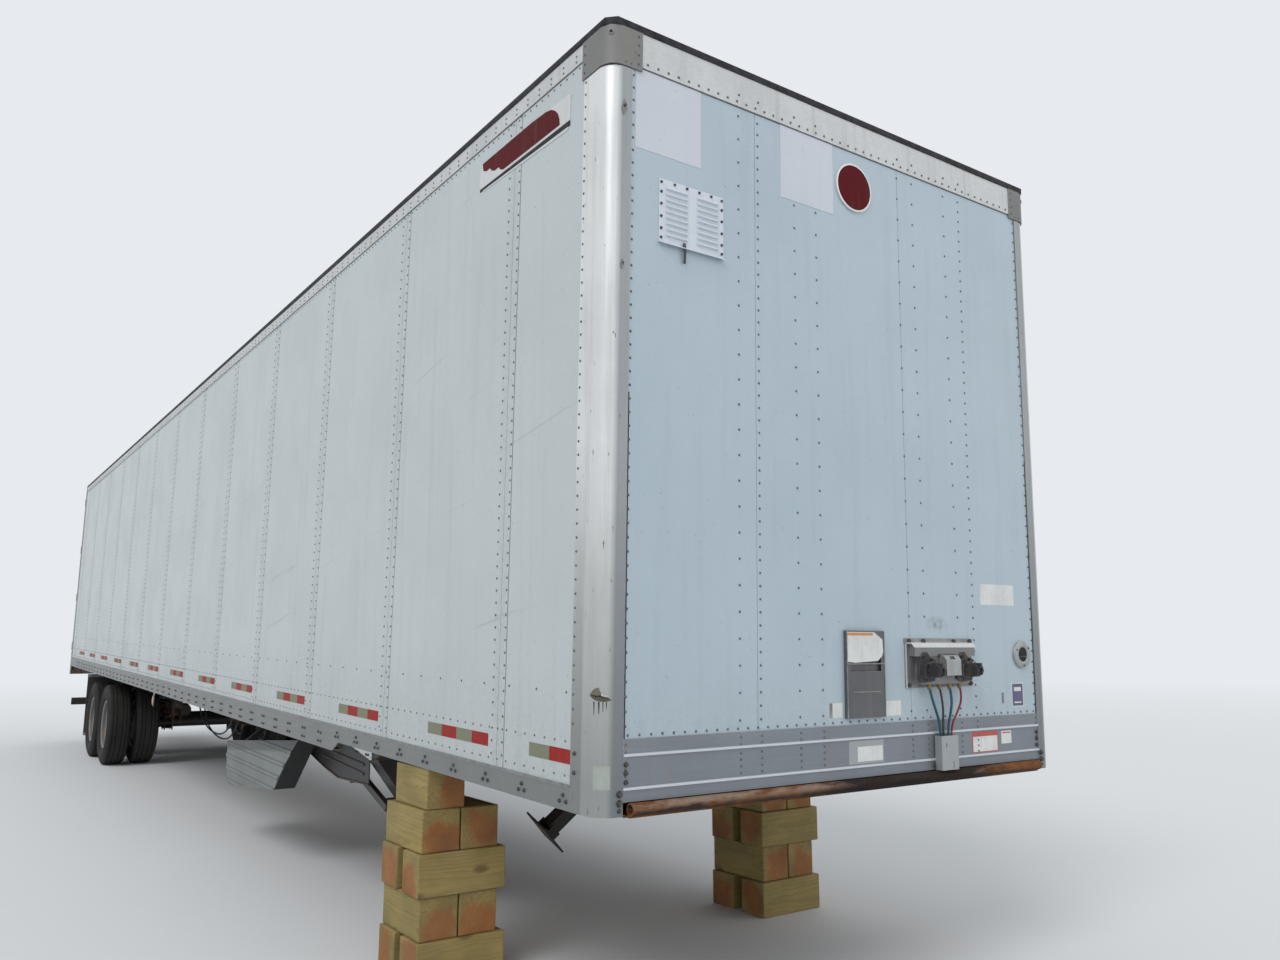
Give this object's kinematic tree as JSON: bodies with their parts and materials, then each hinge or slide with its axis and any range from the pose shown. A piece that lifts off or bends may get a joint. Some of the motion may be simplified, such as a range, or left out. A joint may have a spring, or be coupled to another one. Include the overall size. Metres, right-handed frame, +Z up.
{
  "type": "semi trailer",
  "caption": "Box van semi trailer with riveted white sides, rear swing doors and a spring bogie, its nose set down on timber cribs.",
  "frame": {"origin": "centre of the whole trailer's footprint, on the ground under the wheels and the cribs", "axes": "+X towards the nose, +Y to the trailer's left side, +Z up; the body stands nose down by its pitch"},
  "size_m": [16.3477, 2.639, 4.1833],
  "materials": {
    "white_sheet": "pre-painted sheet, satin, lightly soiled",
    "rail_aluminium": "mill finish extrusion, dull",
    "post_aluminium": "rolled sheet, bright",
    "cast_cap": "cast, weathered grey",
    "roof_sheet": "mill sheet with a black sealed edge",
    "galvanised_steel": "galvanised",
    "black_steel": "black chassis paint, dusty",
    "rusty_steel": "rust over worn paint",
    "spring_steel": "black paint with rust",
    "floor_boards": "laminated hardwood, worn",
    "treated_timber": "sawn, pale green-yellow",
    "tyre_rubber": "worn, dusty",
    "white_rim": "white rim paint, dirty",
    "line_rubber": "coloured air and electric lines",
    "white_plastic": "moulded, soiled",
    "red_lens": "clear red",
    "flap_rubber": "black sheet",
    "grey_casting": "cast, oxidised",
    "fitting_metal": "grey steel, stained"
  },
  "bodies": {
    "trailer": {"bottom_rails": "rail_aluminium", "side_panels_left": "white_sheet", "side_panels_right": "white_sheet", "nose_wall": "white_sheet", "corner_posts": "post_aluminium", "corner_caps": "cast_cap", "top_rails": "rail_aluminium", "roof": "roof_sheet", "roof_bows": "galvanised_steel", "floor": "floor_boards", "cross_beams": "black_steel", "coupler_plate": "rusty_steel", "kingpin": "black_steel", "nose_rail": "rail_aluminium", "nose_vent": "white_sheet", "connection_box": "fitting_metal", "couplings": "grey_casting", "nose_hoses": "line_rubber", "nose_fittings": "fitting_metal", "rear_frame": "galvanised_steel", "lamps": "red_lens", "rear_guard": "black_steel", "slide_rails": "black_steel", "bogie_frame": "black_steel", "spring_hangers": "black_steel", "leaf_springs": "spring_steel", "axles": "black_steel", "brakes": "black_steel", "landing_gear": "black_steel", "skirt_panel": "white_plastic", "mud_flaps": "flap_rubber", "air_lines": "line_rubber", "timber_cribs": "treated_timber"},
    "door_left": {"door_left": "white_sheet", "door_gear_left": "galvanised_steel"},
    "door_right": {"door_right": "white_sheet", "door_gear_right": "galvanised_steel"},
    "wheel_front_left": {"tyres_front_left": "tyre_rubber", "wheels_front_left": "white_rim"},
    "wheel_front_right": {"tyres_front_right": "tyre_rubber", "wheels_front_right": "white_rim"},
    "wheel_rear_left": {"tyres_rear_left": "tyre_rubber", "wheels_rear_left": "white_rim"},
    "wheel_rear_right": {"tyres_rear_right": "tyre_rubber", "wheels_rear_right": "white_rim"}
  },
  "joints": [
    {"name": "door_left_hinge", "type": "hinge", "parent": "trailer", "child": "door_left", "pos_m": [-8.10684, 1.285, 2.66039], "axis": [-0.0234, 0, -0.9997], "range_deg": [0, 255]},
    {"name": "door_right_hinge", "type": "hinge", "parent": "trailer", "child": "door_right", "pos_m": [-8.10684, -1.285, 2.66039], "axis": [0.0234, 0, 0.9997], "range_deg": [0, 255]},
    {"name": "wheel_front_left_spin", "type": "hinge", "parent": "trailer", "child": "wheel_front_left", "pos_m": [-3.87208, 0.984, 0.505], "axis": [0, 1, 0], "continuous": true},
    {"name": "wheel_front_right_spin", "type": "hinge", "parent": "trailer", "child": "wheel_front_right", "pos_m": [-3.87208, -0.984, 0.505], "axis": [0, 1, 0], "continuous": true},
    {"name": "wheel_rear_left_spin", "type": "hinge", "parent": "trailer", "child": "wheel_rear_left", "pos_m": [-5.11702, 0.984, 0.505], "axis": [0, 1, 0], "continuous": true},
    {"name": "wheel_rear_right_spin", "type": "hinge", "parent": "trailer", "child": "wheel_rear_right", "pos_m": [-5.11702, -0.984, 0.505], "axis": [0, 1, 0], "continuous": true}
  ]
}
